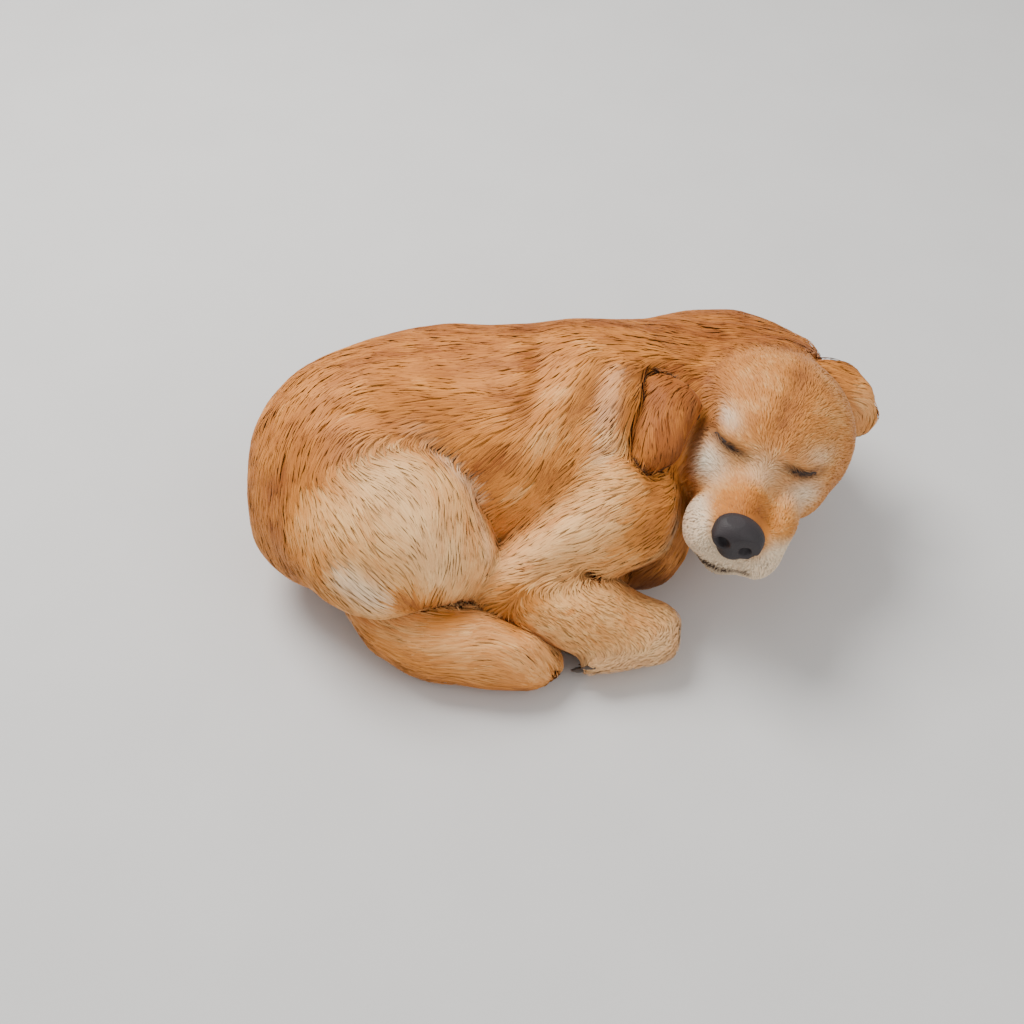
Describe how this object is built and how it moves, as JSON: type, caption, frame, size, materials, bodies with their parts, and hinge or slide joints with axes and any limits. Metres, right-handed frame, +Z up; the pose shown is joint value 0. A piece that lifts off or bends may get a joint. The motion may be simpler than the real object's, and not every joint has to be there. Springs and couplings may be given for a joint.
{
  "type": "golden retriever dog model",
  "caption": "Life-size still model of a golden retriever asleep, curled on its hip with its tail drawn forward and its chin on a foreleg.",
  "frame": {"origin": "centre of the bounding box at floor level", "axes": "+Z up, +Y from the folded legs towards the back, +X from the rump towards the head; the head faces -Y"},
  "size_m": [0.6228, 0.4016, 0.2331],
  "materials": {
    "coat_gold": "long dense golden coat, soft sheen along the lie of the hair",
    "coat_deep": "short silky red-gold coat of the ears",
    "coat_pale": "pale gold coat of the legs and haunch",
    "coat_cream": "short cream coat of the paws",
    "nose": "dark pebbled leather, faintly moist",
    "eyelids": "dark brown lid rims, closed",
    "claws": "dark horn"
  },
  "bodies": {
    "root": {"chest": "coat_gold", "claw_fore_left_1": "claws", "claw_fore_left_2": "claws", "claw_fore_left_3": "claws", "claw_fore_left_4": "claws", "claw_fore_right_1": "claws", "claw_fore_right_2": "claws", "claw_fore_right_3": "claws", "claw_fore_right_4": "claws", "claw_hind_left_1": "claws", "claw_hind_left_2": "claws", "claw_hind_left_3": "claws", "claw_hind_left_4": "claws", "claw_hind_right_1": "claws", "claw_hind_right_2": "claws", "claw_hind_right_3": "claws", "claw_hind_right_4": "claws", "ear_left": "coat_deep", "ear_right": "coat_deep", "eye_left": "eyelids", "eye_right": "eyelids", "foreleg_left": "coat_pale", "foreleg_right_lower": "coat_pale", "foreleg_right_upper": "coat_pale", "head": "coat_gold", "hindleg_left": "coat_pale", "hindleg_right_lower": "coat_pale", "hindleg_right_thigh": "coat_pale", "loin": "coat_gold", "neck": "coat_gold", "nose": "nose", "paw_fore_left": "coat_cream", "paw_fore_right": "coat_cream", "paw_hind_left": "coat_cream", "paw_hind_right": "coat_cream", "rump": "coat_gold", "tail": "coat_gold"}
  },
  "joints": []
}
